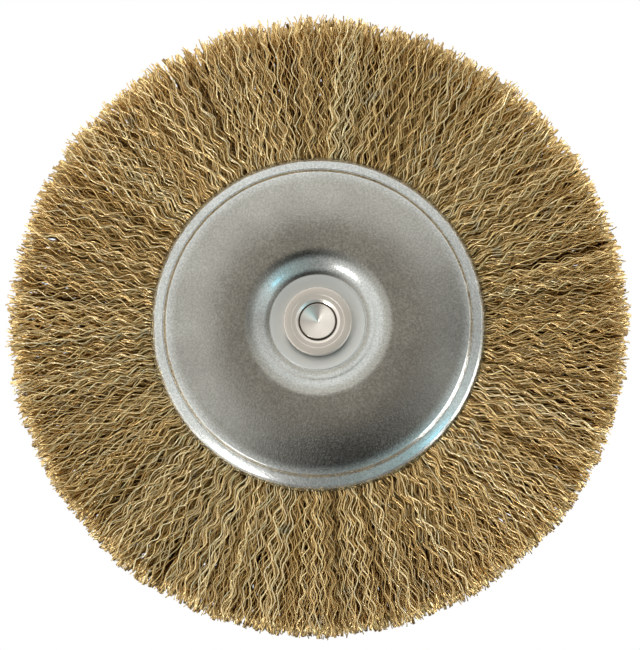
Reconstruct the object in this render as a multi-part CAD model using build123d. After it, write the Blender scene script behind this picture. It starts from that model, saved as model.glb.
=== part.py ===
from build123d import *
import math
import os

# A crimped-wire wheel brush on a round shank. Millimetres. The wheel turns about Y, its front faces -Y,
# and the origin is where the shank leaves the collar, on the axis of the wheel.

# Overall
wheel_diameter = 100.0
face_width = 12.0

# Stamped plates: heights run from the wheel's middle plane to the outer skin of the sheet
plate_diameter = 54.0
plate_thickness = 0.9
land_radius = 8.9
land_height = 5.0
funnel_run = 2.3
crest_height = 7.95
crown_reach = 18.5
crown_fall = 0.75
rim_height = 6.0
step_run = 1.3
band_width = 2.6
lip_depth = 1.75
land_bend = 0.7
crest_bend = 1.3
step_bend = 0.2
edge_bend = 0.8
hub_clearance = 0.05

# Spindle
shank_diameter = 6.0
shank_length = 30.0
shank_chamfer = 0.6
neck_diameter = 8.0
collar_diameter = 12.0
collar_length = 3.3
collar_chamfer = 0.6
head_diameter = 10.9
head_height = 3.3
head_chamfer = 0.2
mouth_diameter = 8.2
throat_diameter = 6.1
mouth_depth = 0.45
dimple_diameter = 5.7
dimple_wall = 0.45
dimple_depth = 0.85

# Inner pieces
spacer_wall = 2.0
ring_radius = 14.5
ring_section = 2.2

# Wire fill: bundles of hairpins folded over the ring, crimped outside the plates. They stand unevenly:
# each lies lower than the fullest by one of the steps, in this order round the wheel
tuft_count = 48
tuft_steps = (0.0, 0.4, 0.8, 1.2)
tuft_order = (0, 1, 3, 1, 2, 0, 2, 3, 1, 3, 0, 2)
rim_gap = 0.25
tip_gap = 0.6
leg_thickness = 3.0
fold_clearance = 0.12
rim_clearance = 0.1
crimp_pitch = 4.6
crimp_height = 0.5
crimp_start = 1.5
crimp_end = 0.1

wheel_radius = wheel_diameter / 2
plate_radius = plate_diameter / 2
neck_radius = neck_diameter / 2
bore_radius = neck_radius + hub_clearance
lip_end = rim_height - lip_depth
middle_y = -(collar_length + land_height)


def eased(corners, bends):
    """The outline with each bend as a short flat, whose ends lie one bend length from the corner."""
    spots = [Vector(*corner) for corner in corners]
    points = spots[:1]
    for before, corner, after, bend in zip(spots, spots[1:], spots[2:], bends):
        points.append(corner + (before - corner).normalized() * bend)
        if bend > 0:
            points.append(corner + (after - corner).normalized() * bend)
    return points + spots[-1:]


def plate():
    """One stamping with its outer skin towards +Y, in the wheel's middle frame."""
    step_foot = plate_radius - band_width
    step_top = step_foot - step_run
    corners = [
        (bore_radius, land_height),
        (land_radius, land_height),
        (land_radius + funnel_run, crest_height),
        (crown_reach, crest_height),
        (step_top, crest_height - crown_fall),
        (step_foot, rim_height),
        (plate_radius, rim_height),
        (plate_radius, lip_end),
    ]
    outer_skin = Polyline(*eased(corners, (land_bend, crest_bend, 0, step_bend, 0, edge_bend)))
    inner_skin = offset(
        Polyline(*eased(corners, (land_bend, crest_bend, 0, 0, 0, 0))),
        amount=plate_thickness,
        side=Side.RIGHT,
        kind=Kind.INTERSECTION,
        closed=False,
    )
    bore = Line((bore_radius, land_height), (bore_radius, land_height - plate_thickness))
    lip = Line((plate_radius, lip_end), (plate_radius - plate_thickness, lip_end))
    return revolve(make_face([*outer_skin.edges(), *inner_skin.edges(), bore, lip]), axis=Axis.Y)


def spindle():
    """Shank, collar, neck and riveted end, turned as one piece."""
    shank_radius = shank_diameter / 2
    collar_radius = collar_diameter / 2
    head_radius = head_diameter / 2
    head_base = middle_y - land_height
    head_face = head_base - head_height
    throat_y = head_face + mouth_depth
    dimple_y = throat_y + dimple_wall
    outline = Polyline(
        (0, dimple_y + dimple_depth),
        (dimple_diameter / 2, dimple_y),
        (throat_diameter / 2, throat_y),
        (mouth_diameter / 2, head_face),
        (head_radius - head_chamfer, head_face),
        (head_radius, head_face + head_chamfer),
        (head_radius, head_base),
        (neck_radius, head_base),
        (neck_radius, -collar_length),
        (collar_radius, -collar_length),
        (collar_radius, -collar_chamfer),
        (collar_radius - collar_chamfer, 0),
        (shank_radius, 0),
        (shank_radius, shank_length - shank_chamfer),
        (shank_radius - shank_chamfer, shank_length),
        (0, shank_length),
        close=True,
    )
    return revolve(make_face(outline), axis=Axis.Y)


def hub_spacer():
    """Sleeve on the neck, as long as the room between the two hub lands."""
    length = 2 * (land_height - plate_thickness)
    sleeve = Cylinder(neck_radius + spacer_wall, length) - Cylinder(bore_radius, length)
    return Rot(90, 0, 0) * sleeve


def anchor_ring():
    """Square-section ring that the hairpins are folded over."""
    return revolve(Pos(ring_radius, 0) * Rectangle(ring_section, ring_section), axis=Axis.Y)


def crimp_bends(reach):
    """Radius and sideways shift of each bend of the crimp, from inside the plate's rim to the tip. The last
    bend lies further than crimp_end inside the tip."""
    first = plate_radius - crimp_start
    bends = [(first, 0.0)]
    radius = first + crimp_pitch / 4
    shift = crimp_height
    while radius < reach - crimp_end:
        bends.append((radius, shift))
        radius += crimp_pitch / 2
        shift = -shift
    share = (reach - bends[-1][0]) / (crimp_pitch / 2)
    return bends + [(reach, bends[-1][1] * (1 - 2 * share))]


def tuft(step):
    """One bundle of hairpins along +X: a crimped wedge, cut to a section that folds round the ring."""
    half_angle = math.pi / tuft_count
    fold = ring_section / 2 + fold_clearance
    back = fold + leg_thickness
    pinch = lip_end - rim_clearance
    tip_radius = wheel_radius - step / 2
    flare = (face_width / 2 - step - pinch) / (wheel_radius - plate_radius)
    step_foot = plate_radius - band_width

    left = []
    right = []
    for radius, shift in [(ring_radius - back, 0.0), *crimp_bends(tip_radius)]:
        share = max(0.0, (radius - plate_radius) / (wheel_radius - plate_radius))
        gap = rim_gap + (tip_gap - rim_gap) * share
        half = radius * math.tan(half_angle) - gap / 2
        left.append((radius, shift + half))
        right.append((radius, shift - half))
    tip = [(math.sqrt(tip_radius**2 - side**2), side) for side in (shift + half, shift, shift - half)]
    left[-1] = tip[0]
    right[-1] = tip[2]
    plan = Polyline(*left) + ThreePointArc(*tip) + Polyline(*reversed(right), left[0])
    wedge = Rot(90, 0, 0) * extrude(make_face(plan), amount=face_width, both=True)

    reach = wheel_radius + plate_radius
    spread = pinch + flare * (reach - plate_radius)
    turns = [math.radians(angle) for angle in (90, 135, 180, 225, 270)]
    section = Polyline(
        *[(ring_radius + back * math.cos(turn), back * math.sin(turn)) for turn in turns],
        (step_foot, -pinch),
        (plate_radius, -pinch),
        (reach, -spread),
        (reach, spread),
        (plate_radius, pinch),
        (step_foot, pinch),
        close=True,
    )
    hairpin = make_face(section) - Pos(ring_radius, 0) * Rectangle(2 * fold, 2 * fold)
    return wedge & extrude(hairpin, amount=wheel_radius, both=True)


def crimped_wires():
    """All the bundles round the wheel."""
    bundles = [tuft(step) for step in tuft_steps]
    pitch = 360 / tuft_count
    turns = [(index * pitch, tuft_order[index % len(tuft_order)]) for index in range(tuft_count)]
    return Compound(children=[Rot(0, angle, 0) * bundles[kind] for angle, kind in turns])


middle = Pos(0, middle_y, 0)
nodes = {
    "front_plate": middle * mirror(plate(), about=Plane.XZ),
    "back_plate": middle * plate(),
    "spindle": spindle(),
    "hub_spacer": middle * hub_spacer(),
    "anchor_ring": middle * anchor_ring(),
    "crimped_wires": middle * crimped_wires(),
}

os.makedirs("parts", exist_ok=True)
for name, shape in nodes.items():
    export_step(shape, os.path.join("parts", name + ".step"))
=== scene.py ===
import math
import bpy
import numpy as np
from mathutils import Matrix, Vector


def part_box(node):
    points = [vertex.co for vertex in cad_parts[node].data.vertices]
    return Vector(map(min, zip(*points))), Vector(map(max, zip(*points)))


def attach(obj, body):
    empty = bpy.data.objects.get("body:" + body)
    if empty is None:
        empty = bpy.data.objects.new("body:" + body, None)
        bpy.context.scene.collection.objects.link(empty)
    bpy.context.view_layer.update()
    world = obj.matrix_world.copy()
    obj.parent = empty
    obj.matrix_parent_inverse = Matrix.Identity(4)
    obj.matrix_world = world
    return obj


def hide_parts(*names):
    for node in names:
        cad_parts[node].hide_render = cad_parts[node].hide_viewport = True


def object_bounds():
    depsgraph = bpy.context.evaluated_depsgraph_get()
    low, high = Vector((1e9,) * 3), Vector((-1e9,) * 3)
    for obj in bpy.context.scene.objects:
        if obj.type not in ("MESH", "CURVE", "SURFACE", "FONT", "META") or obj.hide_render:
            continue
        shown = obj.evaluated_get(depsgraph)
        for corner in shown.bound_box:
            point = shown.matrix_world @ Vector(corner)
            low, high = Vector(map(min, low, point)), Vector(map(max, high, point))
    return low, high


# A crimped-wire wheel brush seen from its front. Metres, in the frame's own axes: the wheel turns about Y.

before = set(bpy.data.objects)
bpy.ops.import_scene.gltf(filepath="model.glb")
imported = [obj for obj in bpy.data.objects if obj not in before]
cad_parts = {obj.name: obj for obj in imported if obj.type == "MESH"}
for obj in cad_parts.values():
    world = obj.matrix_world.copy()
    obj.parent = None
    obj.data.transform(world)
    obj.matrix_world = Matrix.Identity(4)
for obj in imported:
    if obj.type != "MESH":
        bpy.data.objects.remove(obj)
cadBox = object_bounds()

mm = 0.001
rng = np.random.default_rng(24)

wireLow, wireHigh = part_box("crimped_wires")
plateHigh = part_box("front_plate")[1]
spindleLow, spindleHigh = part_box("spindle")
ringLow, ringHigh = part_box("anchor_ring")
middleY = (wireLow.y + wireHigh.y) / 2       # plane halfway between the two plates
wheelMiddle = Vector((0, middleY, 0))
wheelRadius = wireHigh.x
plateRadius = plateHigh.x
lipEnd = middleY - plateHigh.y               # where the turned-down edge ends
ringHalf = (ringHigh.y - ringLow.y) / 2      # half of the anchor ring's section
ringRadius = ringHigh.x - ringHalf
print("frame read, wheel radius", round(wheelRadius, 4), "middle plane", round(middleY, 4))


# Camera

cameraSetup = {
    "distance": 0.600,         # from the middle of the wheel
    "azimuth": 1.0,            # degrees towards +X
    "elevation": -6.0,         # degrees, from below
    "lens": 205.6,             # mm, on a sensor that lies along the image's long side
    "sensor": 36,
    "clipStart": 0.01,
    "aimRight": 0.23 * mm,
    "aimUp": 0.23 * mm,
}


def addCamera():
    # back points from the wheel to the camera; the right and up axes carry the aim point off the wheel's middle
    azimuth = math.radians(cameraSetup["azimuth"])
    elevation = math.radians(cameraSetup["elevation"])
    back = Vector((
        math.sin(azimuth) * math.cos(elevation),
        -math.cos(azimuth) * math.cos(elevation),
        math.sin(elevation),
    ))
    right = Vector((math.cos(azimuth), math.sin(azimuth), 0))
    up = back.cross(right)
    aim = wheelMiddle + right * cameraSetup["aimRight"] + up * cameraSetup["aimUp"]
    data = bpy.data.cameras.new("photoCamera")
    data.lens = cameraSetup["lens"]
    data.sensor_width = cameraSetup["sensor"]
    data.clip_start = cameraSetup["clipStart"]
    camera = bpy.data.objects.new("photoCamera", data)
    bpy.context.scene.collection.objects.link(camera)
    camera.location = aim + back * cameraSetup["distance"]
    camera.rotation_euler = (-back).to_track_quat("-Z", "Y").to_euler()
    bpy.context.scene.camera = camera


addCamera()
print("camera placed")


# Meshes from arrays

def addPiece(name, points, quads, triangles, material, sharpFrom=None, tone=None):
    # points is (n, 3), quads (q, 4), triangles (t, 3); edges are sharp from sharpFrom degrees on
    mesh = bpy.data.meshes.new(name)
    corners = np.concatenate([quads.ravel(), triangles.ravel()]).astype(np.int32)
    starts = np.concatenate([
        np.arange(len(quads)) * 4,
        quads.size + np.arange(len(triangles)) * 3,
    ]).astype(np.int32)
    mesh.vertices.add(len(points))
    mesh.vertices.foreach_set("co", points.astype(np.float32).ravel())
    mesh.loops.add(len(corners))
    mesh.loops.foreach_set("vertex_index", corners)
    mesh.polygons.add(len(starts))
    mesh.polygons.foreach_set("loop_start", starts)
    mesh.update(calc_edges=True)
    mesh.polygons.foreach_set("use_smooth", np.ones(len(starts), bool))
    if sharpFrom is not None:
        mesh.set_sharp_from_angle(angle=math.radians(sharpFrom))
    if tone is not None:
        layer = mesh.attributes.new("tone", "FLOAT", "POINT")
        layer.data.foreach_set("value", tone.astype(np.float32))
    mesh.materials.append(material)
    piece = bpy.data.objects.new(name, mesh)
    bpy.context.scene.collection.objects.link(piece)
    return piece


arcPoints = {"fewest": 4, "most": 12, "spacing": 0.4}     # spacing is the mm of arc for each point past the fewest
sharpAngle = 40                                           # degrees between faces past which a turned edge is sharp


def roundedOutline(rounded):
    # straight runs joined by arcs, in mm, from (corner, arc radius): at a corner that turns by t, an arc of
    # radius R begins R tan(t/2) before it
    corners = np.array([corner for corner, _ in rounded], float)
    radii = [radius for _, radius in rounded[1:-1]]
    runs = [corners[:1]]
    for before, corner, after, radius in zip(corners, corners[1:], corners[2:], radii):
        arriving = (corner - before) / np.linalg.norm(corner - before)
        leaving = (after - corner) / np.linalg.norm(after - corner)
        turn = math.atan2(arriving[0] * leaving[1] - arriving[1] * leaving[0], arriving @ leaving)
        if radius <= 0 or abs(turn) < 1e-4:
            runs.append(corner[None])
            continue
        side = math.copysign(1, turn)
        start = corner - arriving * radius * math.tan(abs(turn) / 2)
        normal = side * np.array([-arriving[1], arriving[0]])
        steps = min(arcPoints["most"], arcPoints["fewest"] + int(radius * abs(turn) / arcPoints["spacing"]))
        swing = np.linspace(0, abs(turn), steps)[:, None]
        runs.append(start + radius * (np.sin(swing) * arriving + (1 - np.cos(swing)) * normal))
    return np.concatenate(runs + [corners[-1:]])


def revolved(outline, sides, loop):
    # x = r cos a, y = height, z = r sin a; an end of the outline on the axis is closed by a fan of triangles
    onAxis = outline[:, 0] < 1e-9
    ringPart = outline[~onAxis]
    count = len(ringPart)
    turn = np.arange(sides) * 2 * np.pi / sides
    radius, height = ringPart[:, 0][:, None], ringPart[:, 1][:, None]
    points = np.stack([
        radius * np.cos(turn),
        np.broadcast_to(height, (count, sides)),
        radius * np.sin(turn),
    ], -1).reshape(-1, 3)
    row = np.arange(count if loop else count - 1)
    a = (row[:, None] * sides + np.arange(sides)).ravel()
    b = (row[:, None] * sides + (np.arange(sides) + 1) % sides).ravel()
    quads = np.stack([a, b, (b + sides) % len(points), (a + sides) % len(points)], 1)
    triangles = np.zeros((0, 3), int)
    if not loop:
        poles = outline[onAxis]
        around = np.arange(sides)
        last = (count - 1) * sides
        first = len(points)
        points = np.concatenate([points, [[0, poles[0, 1], 0], [0, poles[-1, 1], 0]]])
        triangles = np.concatenate([
            np.stack([(around + 1) % sides, around, np.full(sides, first)], 1),
            np.stack([last + around, last + (around + 1) % sides, np.full(sides, first + 1)], 1),
        ])
    return outward(points, quads, triangles)


def outward(points, quads, triangles):
    # the signed volume, a sixth of the sum of a . (b x c) over all triangles, is positive when faces point out
    parts = np.concatenate([quads[:, [0, 1, 2]], quads[:, [0, 2, 3]], triangles])
    a, b, c = (points[parts[:, k]] for k in range(3))
    if np.einsum("ij,ij->", a, np.cross(b, c)) < 0:
        return points, quads[:, ::-1], triangles[:, ::-1]
    return points, quads, triangles


# Shader groups and materials

def newNode(tree, kind, **settings):
    # a node with its settings; keys that name an input set its value
    node = tree.nodes.new(kind)
    for key, value in settings.items():
        if key in node.inputs:
            node.inputs[key].default_value = value
        else:
            setattr(node, key, value)
    return node


def newGroup(name, inputs, outputs):
    # an empty shader group with float sockets: inputs are (name, default), outputs are names
    group = bpy.data.node_groups.new(name, "ShaderNodeTree")
    for label, value in inputs:
        socket = group.interface.new_socket(label, in_out="INPUT", socket_type="NodeSocketFloat")
        socket.default_value = value
    for label in outputs:
        group.interface.new_socket(label, in_out="OUTPUT", socket_type="NodeSocketFloat")
    return group, group.nodes.new("NodeGroupInput"), group.nodes.new("NodeGroupOutput")


def useGroup(tree, group, **values):
    node = tree.nodes.new("ShaderNodeGroup")
    node.node_tree = group
    for key, value in values.items():
        node.inputs[key].default_value = value
    return node


def grainGroup():
    # two noises of object coordinates: fine speckle and broad mottle, each about 0 to 1
    scales = [("Speckle Scale", 2500), ("Mottle Scale", 220)]
    group, given, out = newGroup("plateGrain", scales, ["Speckle", "Mottle"])
    place = group.nodes.new("ShaderNodeTexCoord")
    speckle = newNode(group, "ShaderNodeTexNoise", Detail=3.0, Roughness=0.6)
    mottle = newNode(group, "ShaderNodeTexNoise", Detail=4.0, Roughness=0.55)
    group.links.new(place.outputs["Object"], speckle.inputs["Vector"])
    group.links.new(place.outputs["Object"], mottle.inputs["Vector"])
    group.links.new(given.outputs["Speckle Scale"], speckle.inputs["Scale"])
    group.links.new(given.outputs["Mottle Scale"], mottle.inputs["Scale"])
    group.links.new(speckle.outputs["Fac"], out.inputs["Speckle"])
    group.links.new(mottle.outputs["Fac"], out.inputs["Mottle"])
    return group


def turningGroup():
    # fine rings about the wheel's axis, a noise of the distance from the axis alone, and that distance in metres
    group, given, out = newGroup("turningMarks", [("Rings", 3000)], ["Ring Height", "Reach"])
    place = group.nodes.new("ShaderNodeTexCoord")
    flat = newNode(group, "ShaderNodeVectorMath", operation="MULTIPLY")
    flat.inputs[1].default_value = (1, 0, 1)
    reach = newNode(group, "ShaderNodeVectorMath", operation="LENGTH")
    marks = newNode(group, "ShaderNodeTexNoise", noise_dimensions="1D", Detail=2.0)
    group.links.new(place.outputs["Object"], flat.inputs[0])
    group.links.new(flat.outputs["Vector"], reach.inputs[0])
    group.links.new(reach.outputs["Value"], marks.inputs["W"])
    group.links.new(given.outputs["Rings"], marks.inputs["Scale"])
    group.links.new(marks.outputs["Fac"], out.inputs["Ring Height"])
    group.links.new(reach.outputs["Value"], out.inputs["Reach"])
    return group


plateGrain = grainGroup()
turningMarks = turningGroup()


def newMaterial(name):
    material = bpy.data.materials.new(name)
    material.use_nodes = True
    tree = material.node_tree
    return material, tree, tree.nodes["Principled BSDF"]


def metalMaterial(name, look):
    # a plain metal and the grain that its colour and finish follow
    material, tree, shader = newMaterial(name)
    shader.inputs["Metallic"].default_value = 1.0
    grain = useGroup(tree, plateGrain, **{"Speckle Scale": look["speckleScale"], "Mottle Scale": look["mottleScale"]})
    return material, tree, shader, grain


def ramp(tree, source, stops):
    # a colour ramp over source: stops are (position, colour)
    node = tree.nodes.new("ShaderNodeValToRGB")
    node.color_ramp.elements[0].position = stops[0][0]
    node.color_ramp.elements[1].position = stops[-1][0]
    for position, _ in stops[1:-1]:
        node.color_ramp.elements.new(position)
    for element, (_, colour) in zip(node.color_ramp.elements, stops):
        element.color = (*colour, 1)
    tree.links.new(source, node.inputs["Fac"])
    return node.outputs["Color"]


def spread(tree, source, low, high, fromLow=0.3, fromHigh=0.7):
    # source from fromLow..fromHigh carried to low..high
    node = newNode(tree, "ShaderNodeMapRange")
    node.inputs["From Min"].default_value = fromLow
    node.inputs["From Max"].default_value = fromHigh
    node.inputs["To Min"].default_value = low
    node.inputs["To Max"].default_value = high
    tree.links.new(source, node.inputs["Value"])
    return node.outputs["Result"]


def rises(tree, source, limits, start=0.0):
    # 0 to 1 as source passes between two limits, in mm from start
    return spread(tree, source, 0, 1, start + limits[0] * mm, start + limits[1] * mm)


def falls(tree, source, limits, start=0.0):
    # 1 to 0 as source passes between two limits, in mm from start
    return spread(tree, source, 1, 0, start + limits[0] * mm, start + limits[1] * mm)


def mottled(tree, grain, look):
    # the darker colour where the mottle is low, the lighter where it is high
    return ramp(tree, grain.outputs["Mottle"], [(0.3, look["dark"]), (0.7, look["light"])])


def mixed(tree, share, first, second, kind="RGBA"):
    # first where share is 0 and second where it is 1; each is a socket, a colour or, for kind FLOAT, a number
    node = newNode(tree, "ShaderNodeMix", data_type=kind)
    tree.links.new(share, node.inputs["Factor"])
    for label, value in (("A", first), ("B", second)):
        if isinstance(value, tuple):
            node.inputs[label].default_value = (*value, 1)
        elif isinstance(value, float):
            node.inputs[label].default_value = value
        else:
            tree.links.new(value, node.inputs[label])
    return node.outputs["Result"]


def combined(tree, operation, first, second):
    # one step of arithmetic on two sockets
    node = newNode(tree, "ShaderNodeMath", operation=operation)
    tree.links.new(first, node.inputs[0])
    tree.links.new(second, node.inputs[1])
    return node.outputs[0]


def bumped(tree, height, strength, depth, base=None):
    # the normal that a height gives, depth in mm, on top of another bump's normal if there is one
    node = newNode(tree, "ShaderNodeBump", Strength=strength, Distance=depth * mm)
    tree.links.new(height, node.inputs["Height"])
    if base is not None:
        tree.links.new(base, node.inputs["Normal"])
    return node.outputs["Normal"]


def chosen(tree, share, first, second):
    # the first shader where share is 0, the second where it is 1
    node = tree.nodes.new("ShaderNodeMixShader")
    for source, socket in zip((share, first, second), node.inputs):
        tree.links.new(source, socket)
    return node.outputs[0]


zincLook = {
    "dark": (0.456, 0.459, 0.441), "light": (0.544, 0.552, 0.533), "land": (0.80, 0.82, 0.82),
    "speckleScale": 3400, "mottleScale": 160, "ringScale": 2600,
    "speckle": (0.80, 1.16),                      # what the speckle multiplies the colour by
    "finish": (0.155, 0.22), "landFinish": 0.42,  # roughness of the crown and of the hub land
    "landEnd": (7.55, 7.85),                      # mm from the axis
    "ringStrength": 0.25, "ringDepth": 0.01, "pitStrength": 0.8, "pitDepth": 0.018,
}


def zincMaterial():
    look = zincLook
    material, tree, shader, grain = metalMaterial("zincPlatedSteel", look)
    rings = useGroup(tree, turningMarks, **{"Rings": look["ringScale"]})
    speckled = newNode(tree, "ShaderNodeVectorMath", operation="SCALE")
    tree.links.new(mottled(tree, grain, look), speckled.inputs[0])
    tree.links.new(spread(tree, grain.outputs["Speckle"], *look["speckle"]), speckled.inputs["Scale"])
    # the hub land is rubbed paler and duller than the crown, and the tool has left fine rings on it
    onLand = falls(tree, rings.outputs["Reach"], look["landEnd"])
    tree.links.new(mixed(tree, onLand, speckled.outputs["Vector"], look["land"]), shader.inputs["Base Color"])
    finish = spread(tree, grain.outputs["Speckle"], *look["finish"])
    tree.links.new(mixed(tree, onLand, finish, look["landFinish"], "FLOAT"), shader.inputs["Roughness"])
    marks = combined(tree, "MULTIPLY", onLand, rings.outputs["Ring Height"])
    turned = bumped(tree, marks, look["ringStrength"], look["ringDepth"])
    pitted = bumped(tree, grain.outputs["Speckle"], look["pitStrength"], look["pitDepth"], turned)
    tree.links.new(pitted, shader.inputs["Normal"])
    return material


spindleLook = {
    "dark": (0.62, 0.56, 0.505), "light": (0.70, 0.645, 0.59),
    # the next colour is painted shade, for the lower side of the riveted end and the groove round its cone
    "paintedShade": (0.10, 0.10, 0.09), "shank": (0.27, 0.255, 0.24),
    "speckleScale": 1800, "mottleScale": 220,
    "finish": (0.17, 0.23), "rimFinish": 0.50,    # roughness of the mouth and of the riveted end's rim
    "ringStrength": 0.3, "ringDepth": 0.01,
    # mm from the axis
    "rimStart": (3.3, 3.6), "sideStart": (5.2, 5.35), "grooveStart": (2.78, 2.90), "grooveEnd": (2.98, 3.16),
    "shadeStart": (1.3, 1.9),                     # mm behind the face
    "shadeTop": (-3.5, -1.5),                     # mm above the axis
    "hubEnd": (0.0, 1.0),                         # mm behind the middle plane
}


def spindleMaterial():
    look = spindleLook
    material, tree, shader, grain = metalMaterial("turnedSteel", look)
    rings = useGroup(tree, turningMarks)
    reach = rings.outputs["Reach"]
    place = tree.nodes.new("ShaderNodeTexCoord")
    parts = tree.nodes.new("ShaderNodeSeparateXYZ")
    tree.links.new(place.outputs["Object"], parts.inputs[0])
    # painted shade lies low on the side of the riveted end, where its overhang shades it, and fills the groove round
    # its cone
    inHub = falls(tree, parts.outputs["Y"], look["hubEnd"], middleY)
    side = combined(tree, "MULTIPLY", rises(tree, parts.outputs["Y"], look["shadeStart"], spindleLow.y),
                    rises(tree, reach, look["sideStart"]))
    lowSide = combined(tree, "MULTIPLY", side, falls(tree, parts.outputs["Z"], look["shadeTop"]))
    groove = combined(tree, "MULTIPLY", rises(tree, reach, look["grooveStart"]),
                      falls(tree, reach, look["grooveEnd"]))
    paintedShade = combined(tree, "MULTIPLY", inHub, combined(tree, "MAXIMUM", lowSide, groove))
    shaded = mixed(tree, paintedShade, mottled(tree, grain, look), look["paintedShade"])
    # behind the wheel the steel is darker
    tree.links.new(mixed(tree, inHub, look["shank"], shaded), shader.inputs["Base Color"])
    # the rim of the riveted end is duller than its mouth
    finish = spread(tree, grain.outputs["Speckle"], *look["finish"])
    dulled = mixed(tree, rises(tree, reach, look["rimStart"]), finish, look["rimFinish"], "FLOAT")
    tree.links.new(dulled, shader.inputs["Roughness"])
    turned = bumped(tree, rings.outputs["Ring Height"], look["ringStrength"], look["ringDepth"])
    tree.links.new(turned, shader.inputs["Normal"])
    return material


brassLook = {
    "deep": (0.32, 0.205, 0.08), "mid": (0.84, 0.60, 0.27), "pale": (0.87, 0.74, 0.46),
    "bareSteel": (0.54, 0.54, 0.43),
    "bareMost": 0.6, "bareStart": (0.62, 0.72),   # how bare the worn patches get, and the mottle they begin at
    "speckleScale": 900, "mottleScale": 260, "finish": (0.15, 0.28),
}


def brassMaterial():
    # the colour follows each wire's tone, which carries painted shade with depth and at the tips, and the coat is
    # worn off in patches
    look = brassLook
    material, tree, shader, grain = metalMaterial("brassCoatedWire", look)
    tone = newNode(tree, "ShaderNodeAttribute", attribute_name="tone")
    colour = ramp(tree, tone.outputs["Fac"], [(0.0, look["deep"]), (0.5, look["mid"]), (1.0, look["pale"])])
    bare = spread(tree, grain.outputs["Mottle"], 0, look["bareMost"], *look["bareStart"])
    tree.links.new(mixed(tree, bare, colour, look["bareSteel"]), shader.inputs["Base Color"])
    tree.links.new(spread(tree, grain.outputs["Speckle"], *look["finish"]), shader.inputs["Roughness"])
    return material


innerSteelLook = {
    "dark": (0.30, 0.29, 0.28), "light": (0.46, 0.45, 0.43),
    "speckleScale": 1200, "mottleScale": 220, "finish": (0.35, 0.55),
}


def innerSteelMaterial():
    material, tree, shader, grain = metalMaterial("plainSteel", innerSteelLook)
    tree.links.new(mottled(tree, grain, innerSteelLook), shader.inputs["Base Color"])
    tree.links.new(spread(tree, grain.outputs["Speckle"], *innerSteelLook["finish"]), shader.inputs["Roughness"])
    return material


zinc = zincMaterial()
turnedSteel = spindleMaterial()
brass = brassMaterial()
innerSteel = innerSteelMaterial()
for node in ("hub_spacer", "anchor_ring"):
    for slotIndex in range(len(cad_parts[node].material_slots)):
        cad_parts[node].material_slots[slotIndex].material = innerSteel
print("materials made")


# Stamped plates

plateShape = {
    # mm and degrees: radii from the axis, heights above the middle plane, slopes from the plate's own plane, and
    # bends as the radii of their arcs
    "bore": 4.05, "landHeight": 5.617, "landSlope": 6.5, "landRadius": 8.54, "landBend": 3.4,
    "lineRadius": 7.6, "lineHalf": 0.08, "lineDepth": 0.075,
    "crestRadius": 10.65, "crestHeight": 7.45, "crestBend": 5.5,
    "crownBreak": 18.4, "crownBend": 56.0, "crownSlope": 9.0,
    "shoulderRadius": 23.2, "shoulderBend": 8.0, "shoulderSlope": 17.0,
    "stepRadius": 24.3, "stepBend": 0.25, "stepSlope": 50.0, "stepRun": 0.5,
    "creaseRun": 0.07, "creaseDepth": 0.06, "creaseBend": 0.04, "creaseSideBend": 0.05,
    "bandSlope": 28.5, "bandRun": 1.25, "bandBend": 0.3,
    "edgeRun": 0.42, "edgeSlope": 45.0, "edgeBend": 0.4,
    "sheet": 0.9, "sides": 208,
}


def plateOutline():
    # outer skin from the bore to the end of the lip, then the inner skin back, one sheet thickness below it
    p = plateShape
    edge = plateRadius / mm

    def slopeTo(point, run, slope):
        # further out by run, and up by run times the tangent of the slope in degrees
        return (point[0] + run, point[1] + run * math.tan(math.radians(slope)))

    bore = (p["bore"], p["landHeight"])
    line = slopeTo(bore, p["lineRadius"] - p["bore"], p["landSlope"])
    crownEnd = (p["crownBreak"], p["crestHeight"])
    shoulder = slopeTo(crownEnd, p["shoulderRadius"] - p["crownBreak"], -p["crownSlope"])
    step = slopeTo(shoulder, p["stepRadius"] - p["shoulderRadius"], -p["shoulderSlope"])
    foot = slopeTo(step, p["stepRun"], -p["stepSlope"])
    crease = (foot[0] + p["creaseRun"], foot[1] - p["creaseDepth"])
    band = (crease[0] + p["creaseRun"], foot[1])
    bandEnd = slopeTo(band, p["bandRun"], -p["bandSlope"])
    roll = slopeTo(bandEnd, p["edgeRun"], -p["edgeSlope"])
    outer = roundedOutline([
        (bore, 0),
        (slopeTo(line, -p["lineHalf"], p["landSlope"]), 0),
        ((line[0], line[1] - p["lineDepth"]), 0),
        (slopeTo(line, p["lineHalf"], p["landSlope"]), 0),
        (slopeTo(bore, p["landRadius"] - p["bore"], p["landSlope"]), p["landBend"]),
        ((p["crestRadius"], p["crestHeight"]), p["crestBend"]),
        (crownEnd, p["crownBend"]),
        (shoulder, p["shoulderBend"]),
        (step, p["stepBend"]),
        (foot, p["creaseSideBend"]),
        (crease, p["creaseBend"]),
        (band, p["creaseSideBend"]),
        (bandEnd, p["bandBend"]),
        (roll, p["edgeBend"]),
        ((edge, lipEnd / mm), 0),
    ])
    run = np.gradient(outer, axis=0)
    run /= np.linalg.norm(run, axis=1)[:, None]
    inner = outer + p["sheet"] * np.stack([run[:, 1], -run[:, 0]], 1)
    inner[:, 0] = np.minimum(inner[:, 0], edge - p["sheet"])
    inner[0] = (p["bore"], p["landHeight"] - p["sheet"])
    inner[-1] = (edge - p["sheet"], lipEnd / mm)
    return np.concatenate([outer, inner[::-2]]) * mm


def addPlate(name, node, facing):
    # facing -1 turns the outer skin to -Y, +1 to +Y
    outline = plateOutline()
    outline[:, 1] = middleY + facing * outline[:, 1]
    piece = addPiece(name, *revolved(outline, plateShape["sides"], True), zinc, sharpAngle)
    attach(piece, "root")
    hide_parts(node)


addPlate("frontPlate", "front_plate", -1)
addPlate("backPlate", "back_plate", 1)
print("plates made")


# Spindle

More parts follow.
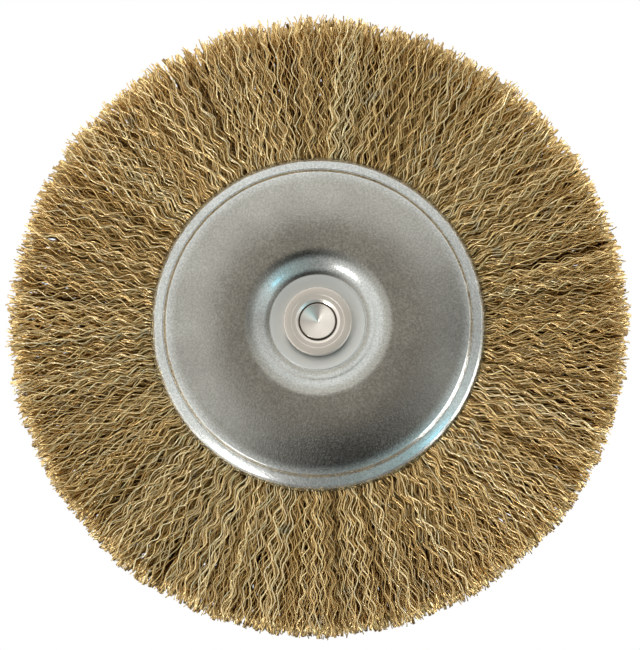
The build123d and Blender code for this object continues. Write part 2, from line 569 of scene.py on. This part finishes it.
spindleShape = {
    # radii and lengths in mm; a bend or break is the radius of the arc at its corner
    "shank": 3.0, "shankChamfer": 0.6, "shankBend": 0.15, "shankBreak": 0.2,
    "neck": 4.0, "collar": 6.0, "collarLength": 2.57, "collarChamfer": 0.6, "collarBreak": 0.1,
    "head": 5.42, "headFoot": 5.5, "headSink": 0.05, "headBreak": 0.14,
    # depths below the face: a shallow ledge, the wall of the mouth, a groove, and the rim of the drilled cone
    "ledge": 4.28, "ledgeRun": 0.08, "ledgeDepth": 0.06, "ledgeBend": 0.03, "ledgeBreak": 0.05,
    "mouth": 3.56, "mouthBend": 0.25, "groove": 2.97, "grooveDepth": 0.55, "grooveBend": 0.03,
    "dimple": 2.76, "dimpleDepth": 0.25, "dimpleBreak": 0.06,
    "drillPoint": 124, "apex": 0.05,              # degrees across the cone, and the radius of its last ring
    "sides": 144,
}


def addSpindle():
    # one turned outline from the dimple's apex, over the riveted end, neck and collar, to the end of the shank
    s = spindleShape
    headFace = spindleLow.y / mm
    headBase = middleY / mm - plateShape["landHeight"] - s["headSink"]
    ledgeY = headFace + s["ledgeDepth"]
    dimpleY = headFace + s["dimpleDepth"]
    pointSlope = 1 / math.tan(math.radians(s["drillPoint"] / 2))
    apexY = dimpleY + s["dimple"] * pointSlope
    shankEnd = spindleHigh.y / mm
    outline = roundedOutline([
        ((0, apexY), 0),
        ((s["apex"], apexY - s["apex"] * pointSlope), 0),
        ((s["dimple"], dimpleY), s["dimpleBreak"]),
        ((s["groove"], headFace + s["grooveDepth"]), s["grooveBend"]),
        ((s["mouth"], ledgeY), s["mouthBend"]),
        ((s["ledge"] - s["ledgeRun"], ledgeY), s["ledgeBend"]),
        ((s["ledge"], headFace), s["ledgeBreak"]),
        ((s["head"], headFace), s["headBreak"]),
        ((s["headFoot"], headBase), 0),
        ((s["neck"], headBase), 0),
        ((s["neck"], -s["collarLength"]), 0),
        ((s["collar"], -s["collarLength"]), s["collarBreak"]),
        ((s["collar"], -s["collarChamfer"]), s["collarBreak"]),
        ((s["collar"] - s["collarChamfer"], 0), s["collarBreak"]),
        ((s["shank"], 0), s["shankBend"]),
        ((s["shank"], shankEnd - s["shankChamfer"]), s["shankBreak"]),
        ((s["shank"] - s["shankChamfer"], shankEnd), s["shankBreak"]),
        ((0, shankEnd), 0),
    ])
    piece = addPiece("riveted_spindle", *revolved(outline * mm, s["sides"], False), turnedSteel, sharpAngle)
    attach(piece, "root")
    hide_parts("spindle")


addSpindle()
print("spindle made")


# Wire fill: hairpins folded over the ring, each with a leg to the front and a leg to the back

wireFill = {
    # sizes in mm; tubes are the radii of the wires' three-sided sections
    "outerHairpins": 2180, "frontSamples": 33, "backSamples": 19, "outerTube": 0.108,
    "innerHairpins": 900, "innerSamples": 13, "innerTube": 0.31,
    "layerSplit": 0.58,                           # share of the half width that the inner ones fill
    "innerCalm": 0.3,                             # share of the lean and gathering that the inner ones have
    "sectors": 6,
    "pinchRadius": 24.4, "pinchHalf": 3.75, "tipHalf": 5.75, "flare": 0.75,
    "foldGap": 0.25,                              # clear of the ring's corners
    "foldDepth": 2.6,                             # from the inmost fold to the outmost
    # crimp, as waves that start near the pinch and fade towards the tip
    "crimpPitch": 4.5, "pitchSpread": 0.02, "crimpHeight": 0.56, "heightRange": (0.6, 1.3), "crimpTilt": 32,
    "crimpFade": 0.30, "crimpStart": 0.06, "crimpRise": 0.10, "phaseSpread": 0.5, "phaseSlip": 3.0, "slipPower": 1.4,
    # waves round the wheel that the crimp's phase and the lean follow: how many, their turns and their strength
    "waves": 14, "waveChange": 0.6, "phaseTurns": (4, 30), "phaseSwing": 2.4, "leanTurns": (6, 40), "leanSwing": 0.7,
    # locks of wires that lie alike, and the points that they gather into at the tips
    "layers": 5, "cellRange": (0.4, 1.6), "lockWidth": 3.6, "lockPhase": 1.0, "lockLean": 0.4, "lockLift": 0.25,
    "lockTone": 0.08, "lockClump": (-0.05, 0.06), "clumpReach": 0.8,
    "spikeWidth": 2.3, "spikeDrop": 0.4, "spikePull": 0.2, "spikePower": 6,
    # single wires
    "leanSpread": 0.35, "leanPower": 1.25, "liftSpread": 0.25, "bowSpread": 0.3, "legSpread": 0.01, "twistSpread": 18,
    "strayShare": 0.30, "strayReach": 3.6, "strayLift": 0.8, "tipShort": 0.66, "tipSpread": 0.75,
    # tone, from 0 for the deepest brass to 1 for the palest; it is lowered as painted shade for wires deeper in the
    # fill and at the tips
    "tone": 0.62, "toneSpread": 0.18, "depthShade": 0.50, "tipShade": 0.22, "tipStart": 0.91, "tipRun": 0.08,
    # bundles of the solid model, whose uneven heights the wires follow
    "bundles": 48, "bundleSteps": (0.0, 0.4, 0.8, 1.2), "bundleOrder": (0, 1, 3, 1, 2, 0, 2, 3, 1, 3, 0, 2),
    "dropShort": 0.3, "dropLift": 0.6,
}


def smoothField(angle, depth, turnRange):
    # a sum of cosines of whole numbers of turns round the wheel, with a slow change through its depth
    waves = wireFill["waves"]
    turns = rng.integers(*turnRange, waves)
    through = rng.normal(0, wireFill["waveChange"], waves)
    shift = rng.uniform(0, 2 * np.pi, waves)
    total = np.cos(angle[:, None] * turns + depth[:, None] * through + shift).sum(1)
    return total / math.sqrt(waves / 2)


def unevenCells(angle, layer, width, radius):
    # the cell that each angle lies in, where every layer is cut round the wheel into cells of uneven width,
    # and how far along the arc it lies from the middle of its cell
    layers = wireFill["layers"]
    perLayer = int(2 * np.pi * radius / width)
    number = np.zeros(len(angle), int)
    aside = np.zeros(len(angle))
    for index in range(layers):
        widths = rng.uniform(*wireFill["cellRange"], perLayer)
        edges = np.concatenate([[0], np.cumsum(widths) / widths.sum() * 2 * np.pi])
        here = layer == index
        cell = (np.searchsorted(edges, angle[here]) - 1).clip(0, perLayer - 1)
        number[here] = index * perLayer + cell
        aside[here] = (angle[here] - (edges[cell] + edges[cell + 1]) / 2) * radius
    return number, layers * perLayer, aside


def bundleDrop(angle):
    # how much lower the bundle at each angle stands than the fullest, in the order they have round the wheel
    w = wireFill
    index = np.round(-angle / (2 * np.pi) * w["bundles"]).astype(int) % w["bundles"]
    kind = np.array(w["bundleOrder"])[index % len(w["bundleOrder"])]
    return np.array(w["bundleSteps"])[kind]


def legPaths(angle, depth, side, samples, calm):
    # polar path of each leg from the pinch to its tip: radius r, sideways shift, height above the middle plane;
    # calm scales how far the legs lean and gather
    w = wireFill
    count = len(angle)
    middle = (plateRadius + wheelRadius) / 2 / mm
    layer = (depth * w["layers"]).astype(int).clip(0, w["layers"] - 1)
    around = angle % (2 * np.pi)
    lock, locks, fromLock = unevenCells(around, layer, w["lockWidth"], middle)
    _, _, fromSpike = unevenCells(around, layer, w["spikeWidth"], wheelRadius / mm)
    lockPhase = rng.normal(0, w["lockPhase"], locks)[lock]
    lockLean = rng.normal(0, w["lockLean"], locks)[lock]
    lockLift = rng.normal(0, w["lockLift"], locks)[lock]
    lockTone = rng.normal(0, w["lockTone"], locks)[lock]
    lockClump = rng.uniform(*w["lockClump"], locks)[lock]

    signedDepth = depth * side
    phase = w["phaseSwing"] * smoothField(angle, signedDepth, w["phaseTurns"]) + lockPhase
    phase = phase + rng.normal(0, w["phaseSpread"], count)
    lean = w["leanSwing"] * smoothField(angle, signedDepth, w["leanTurns"]) + lockLean
    lean = lean + rng.normal(0, w["leanSpread"], count)
    stray = rng.random(count) < w["strayShare"]
    lean = (lean + stray * rng.uniform(-1, 1, count) * w["strayReach"]) * calm
    slip = rng.normal(0, w["phaseSlip"], count)
    tilt = np.radians(rng.normal(0, w["crimpTilt"], count))
    height = w["crimpHeight"] * rng.uniform(*w["heightRange"], count)
    pitch = w["crimpPitch"] * rng.normal(1, w["pitchSpread"], count)
    drop = bundleDrop(angle)
    tip = wheelRadius / mm - w["tipShort"] + w["tipSpread"] * rng.uniform(-1, 1, count)
    tip = tip + w["spikeDrop"] * (1 - np.abs(fromSpike)) - w["dropShort"] * drop
    lift = lockLift + rng.normal(0, w["liftSpread"], count) + stray * rng.uniform(0, w["strayLift"], count)
    lift = lift - w["dropLift"] * depth * drop

    # share runs from 0 at the pinch to 1 at the tip
    share = np.linspace(0, 1, samples)[None]
    r = w["pinchRadius"] + (tip[:, None] - w["pinchRadius"]) * share
    wave = 2 * np.pi * (r - w["pinchRadius"]) / pitch[:, None] + phase[:, None]
    wave = wave + slip[:, None] * share ** w["slipPower"]
    swell = height[:, None] * ((share - w["crimpStart"]) / w["crimpRise"]).clip(0, 1)
    swell = swell * (1 - w["crimpFade"] * share ** 2)
    bow = np.sin(np.pi * share) * rng.normal(0, w["bowSpread"], count)[:, None]
    shift = swell * np.cos(tilt)[:, None] * np.sin(wave) + lean[:, None] * share ** w["leanPower"] + bow
    shift = shift - calm * (fromLock * lockClump)[:, None] * np.sin(np.pi * share * w["clumpReach"])
    shift = shift - w["spikePull"] * fromSpike[:, None] * share ** w["spikePower"]
    half = w["pinchHalf"] + (w["tipHalf"] - w["pinchHalf"]) * share ** w["flare"]
    above = depth[:, None] * half + lift[:, None] * share + swell * np.sin(tilt)[:, None] * np.cos(wave)
    # tone falls with depth into the fill and towards the tips: painted shade on top of the random tone of wires and
    # locks
    tone = w["tone"] + lockTone + rng.normal(0, w["toneSpread"], count) - w["depthShade"] * (1 - depth)
    tone = tone[:, None] - w["tipShade"] * ((share - w["tipStart"]) / w["tipRun"]).clip(0, 1)
    turned = angle[:, None] + shift / r
    return np.stack([r * np.cos(turned), side * above, r * np.sin(turned)], -1), tone


def foldPaths(angle, depth):
    # three points of the fold, a half circle of radius q round the ring's middle, from its front to its back
    q = ringHalf / mm * math.sqrt(2) + wireFill["foldGap"] + wireFill["foldDepth"] * depth
    swing = np.radians([90.0, 180.0, 270.0])[None]
    r = ringRadius / mm + q[:, None] * np.cos(swing)
    y = -q[:, None] * np.sin(swing)
    return np.stack([r * np.cos(angle)[:, None], y, r * np.sin(angle)[:, None]], -1)


def tubes(paths, radius, twist):
    # a three-sided tube along each path: corner k at radius from the path, 120 degrees apart, a flat side to the face
    count, length, _ = paths.shape
    along = np.gradient(paths, axis=1)
    along /= np.linalg.norm(along, axis=2)[..., None]
    facing = np.zeros_like(paths)
    facing[..., 1] = np.where(paths[..., 1] < 0, -1.0, 1.0)
    across = np.cross(along, facing)
    across /= np.maximum(np.linalg.norm(across, axis=2), 1e-6)[..., None]
    outwards = np.cross(across, along)
    corner = np.radians([60.0, 180.0, 300.0])[None, None] + twist[:, None, None]
    ring = (outwards[:, :, None] * np.cos(corner)[..., None]
            + across[:, :, None] * np.sin(corner)[..., None])
    points = paths[:, :, None] + radius * ring
    first = (np.arange(count) * length * 3)[:, None, None]
    step = (np.arange(length - 1) * 3)[None, :, None]
    k = np.arange(3)[None, None]
    a = first + step + k
    b = first + step + (k + 1) % 3
    quads = np.stack([a, b, b + 3, a + 3], -1).reshape(-1, 4)
    ends = first[:, 0, 0]
    last = ends + (length - 1) * 3
    caps = np.concatenate([
        np.stack([ends + 2, ends + 1, ends], 1),
        np.stack([last, last + 1, last + 2], 1),
    ])
    return points.reshape(-1, 3), quads, caps


def hairpins(count, depths, samples, radius, calm):
    # whole hairpins, front tip to back tip, with one tone for each point of their paths; a depth is the share of
    # the half width, and samples are for the front and the back leg
    angle = (np.arange(count) + rng.uniform(0, 1, count)) / count * 2 * np.pi
    order = rng.permutation(count)
    depth = depths[0] + (depths[1] - depths[0]) * ((order + rng.uniform(0, 1, count)) / count)
    front, frontTone = legPaths(angle, depth, -1, samples[0], calm)
    back, backTone = legPaths(angle + rng.normal(0, wireFill["legSpread"], count), depth, 1, samples[1], calm)
    paths = np.concatenate([front[:, ::-1], foldPaths(angle, depth), back], 1)
    foldTone = np.repeat(backTone[:, :1], 3, 1)
    tone = np.concatenate([frontTone[:, ::-1], foldTone, backTone], 1)
    twist = rng.normal(0, math.radians(wireFill["twistSpread"]), count)
    return angle, paths * mm, tone, twist, radius * mm


def addWires():
    w = wireFill
    outerSamples = (w["frontSamples"], w["backSamples"])
    innerSamples = (w["innerSamples"], w["innerSamples"])
    outer = hairpins(w["outerHairpins"], (w["layerSplit"], 1.0), outerSamples, w["outerTube"], 1.0)
    inner = hairpins(w["innerHairpins"], (0.0, w["layerSplit"]), innerSamples, w["innerTube"], w["innerCalm"])
    print("hairpins worked out:", w["outerHairpins"] + w["innerHairpins"])
    for sector in range(w["sectors"]):
        points, quads, caps, tones = [], [], [], []
        offset = 0
        for angle, paths, tone, twist, radius in (outer, inner):
            here = (angle * w["sectors"] / (2 * np.pi)).astype(int).clip(0, w["sectors"] - 1) == sector
            p, q, c = tubes(paths[here], radius, twist[here])
            p[:, 1] += middleY
            points.append(p)
            quads.append(q + offset)
            caps.append(c + offset)
            tones.append(np.repeat(tone[here].ravel(), 3))
            offset += len(p)
        mesh = outward(np.concatenate(points), np.concatenate(quads), np.concatenate(caps))
        piece = addPiece(f"wireSector{sector + 1}", *mesh, brass, tone=np.concatenate(tones))
        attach(piece, "root")
        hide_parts("crimped_wires")
        print("  wire sector", sector + 1, "triangles", 2 * len(mesh[1]) + len(mesh[2]))


addWires()
print("wires made")


# Floor, backdrop and light

studio = {
    "floorDrop": 0.080, "floorHalf": 6.0, "floorColour": (0.86, 0.86, 0.86), "floorFinish": 0.9, "floorGloss": 0.1,
    "tiltToAxis": 6.0,                            # degrees from the wheel's axis to the middle of the rings of light
    "middle": (0.305, 0.266, 0.215), "behind": (0.38, 0.38, 0.37),
    # where each of these takes over, by minus the cosine of the angle from the camera's side
    "innerRingFrom": (-0.998, -0.978), "outerRingFrom": (-0.90, -0.72), "sidesFrom": (-0.30, -0.12),
    "behindFrom": (0.30, 0.55), "whiteFrom": (0.85, 0.99),
    # light from each side of the camera, by degrees round it, 0 at the right and 90 at the top; a level takes
    # the tint of its ring, a colour is taken as it is
    "innerRing": [
        (-180, 0.55), (-150, 0.54), (-125, 0.38), (-108, 0.10), (-90, 0.01), (-65, 0.02), (-45, 0.19),
        (-30, 0.36), (0, 0.17), (30, 0.46), (60, 0.60), (90, 0.64), (120, 0.63), (150, 0.59), (180, 0.55),
    ],
    "outerRing": [
        (-180, 0.88), (-150, 0.94), (-120, 0.82), (-95, 0.32),
        (-65, (0.46, 0.57, 0.57)), (-45, (0.68, 0.95, 1.0)), (-30, (1.0, 1.12, 1.12)),
        (0, 0.52), (30, 0.66), (60, 0.80), (90, 0.88), (120, 0.92), (150, 0.88), (180, 0.88),
    ],
    "sides": [
        (-180, 1.7), (-130, 1.6), (-105, 0.3), (-58, 0.25), (-40, 0.8), (-25, 1.4), (0, 1.4),
        (30, 1.8), (60, 2.2), (90, 2.4), (135, 2.4), (180, 1.7),
    ],
    "innerTint": (1.39, 1.35, 1.23), "outerTint": (1.34, 1.36, 1.33),
}


def addFloor():
    # pale to the camera, with the wheel's shadow; other rays pass it, because the metal mirrors a dark lower side
    low = cadBox[0].z - studio["floorDrop"]
    half = studio["floorHalf"]
    corners = [(-half, -half, low), (half, -half, low), (half, half, low), (-half, half, low)]
    mesh = bpy.data.meshes.new("floor")
    mesh.from_pydata(corners, [], [(0, 1, 2, 3)])
    material, tree, shader = newMaterial("paleFloor")
    shader.inputs["Base Color"].default_value = (*studio["floorColour"], 1)
    shader.inputs["Roughness"].default_value = studio["floorFinish"]
    shader.inputs["Specular IOR Level"].default_value = studio["floorGloss"]
    rays = tree.nodes.new("ShaderNodeLightPath")
    clear = tree.nodes.new("ShaderNodeBsdfTransparent")
    seen = chosen(tree, rays.outputs["Is Camera Ray"], clear.outputs[0], shader.outputs[0])
    tree.links.new(seen, tree.nodes["Material Output"].inputs["Surface"])
    mesh.materials.append(material)
    floor = bpy.data.objects.new("floor", mesh)
    bpy.context.scene.collection.objects.link(floor)


def ringStops(ring, tint):
    # ramp stops for one ring of light, from 0 at -180 degrees to 1 at 180
    stops = []
    for degrees, level in studio[ring]:
        colour = level if isinstance(level, tuple) else tuple(level * part for part in studio[tint])
        stops.append(((degrees + 180) / 360, colour))
    return stops


def addWorld():
    # by direction: a middle round the camera, two rings of light about it, the sides, and behind the wheel
    world = bpy.data.worlds.new("studioWorld")
    bpy.context.scene.world = world
    world.use_nodes = True
    tree = world.node_tree
    tree.nodes.clear()
    place = tree.nodes.new("ShaderNodeTexCoord")
    tilted = newNode(tree, "ShaderNodeVectorRotate", rotation_type="X_AXIS", Angle=math.radians(studio["tiltToAxis"]))
    parts = tree.nodes.new("ShaderNodeSeparateXYZ")
    tree.links.new(place.outputs["Generated"], tilted.inputs["Vector"])
    tree.links.new(tilted.outputs["Vector"], parts.inputs[0])
    turn = combined(tree, "ARCTAN2", parts.outputs["Z"], parts.outputs["X"])
    share = spread(tree, turn, 0, 1, -math.pi, math.pi)
    forward = parts.outputs["Y"]
    colour = studio["middle"]
    for ring, tint in (("innerRing", "innerTint"), ("outerRing", "outerTint"), ("sides", "outerTint")):
        nextColour = ramp(tree, share, ringStops(ring, tint))
        colour = mixed(tree, spread(tree, forward, 0, 1, *studio[ring + "From"]), colour, nextColour)
    colour = mixed(tree, spread(tree, forward, 0, 1, *studio["behindFrom"]), colour, studio["behind"])
    light = newNode(tree, "ShaderNodeBackground")
    tree.links.new(colour, light.inputs["Color"])
    white = newNode(tree, "ShaderNodeBackground")
    white.inputs["Color"].default_value = (1, 1, 1, 1)
    # white for the camera, and behind the wheel for what metal mirrors as well
    rays = tree.nodes.new("ShaderNodeLightPath")
    mirrored = combined(tree, "MAXIMUM", rays.outputs["Is Glossy Ray"], rays.outputs["Is Transmission Ray"])
    behind = combined(tree, "MULTIPLY", mirrored, spread(tree, forward, 0, 1, *studio["whiteFrom"]))
    seen = combined(tree, "MAXIMUM", rays.outputs["Is Camera Ray"], behind)
    out = tree.nodes.new("ShaderNodeOutputWorld")
    tree.links.new(chosen(tree, seen, light.outputs[0], white.outputs[0]), out.inputs["Surface"])


lamps = {
    # name: (place, width, height, watts, colour)
    "stripRight": ((0.90, 0.00, -0.44), 0.65, 0.14, 2.4, (1.0, 1.0, 1.0)),
    "spotLowerLeft": ((-0.384, -0.410, -0.548), 0.22, 0.14, 1.2, (1.0, 1.0, 1.0)),
    "spotLowerRight": ((0.45, -0.40, -0.365), 0.13, 0.08, 0.068, (0.22, 0.74, 1.0)),
}


def addLamps():
    for name, (place, width, height, watts, colour) in lamps.items():
        data = bpy.data.lights.new(name, "AREA")
        data.shape = "RECTANGLE"
        data.size, data.size_y = width, height
        data.energy = watts
        data.color = colour
        lamp = bpy.data.objects.new(name, data)
        bpy.context.scene.collection.objects.link(lamp)
        # the lamp's width runs round the wheel's axis: x is the tangent, z points away from the wheel, y = z x x
        away = (Vector(place) - wheelMiddle).normalized()
        tangent = Vector((-place[2], 0, place[0])).normalized()
        lamp.matrix_world = Matrix.LocRotScale(
            Vector(place), Matrix((tangent, away.cross(tangent), away)).transposed(), None
        )


addFloor()
addWorld()
addLamps()
bpy.context.scene.view_settings.view_transform = "Standard"
print("floor, world and lamps set")
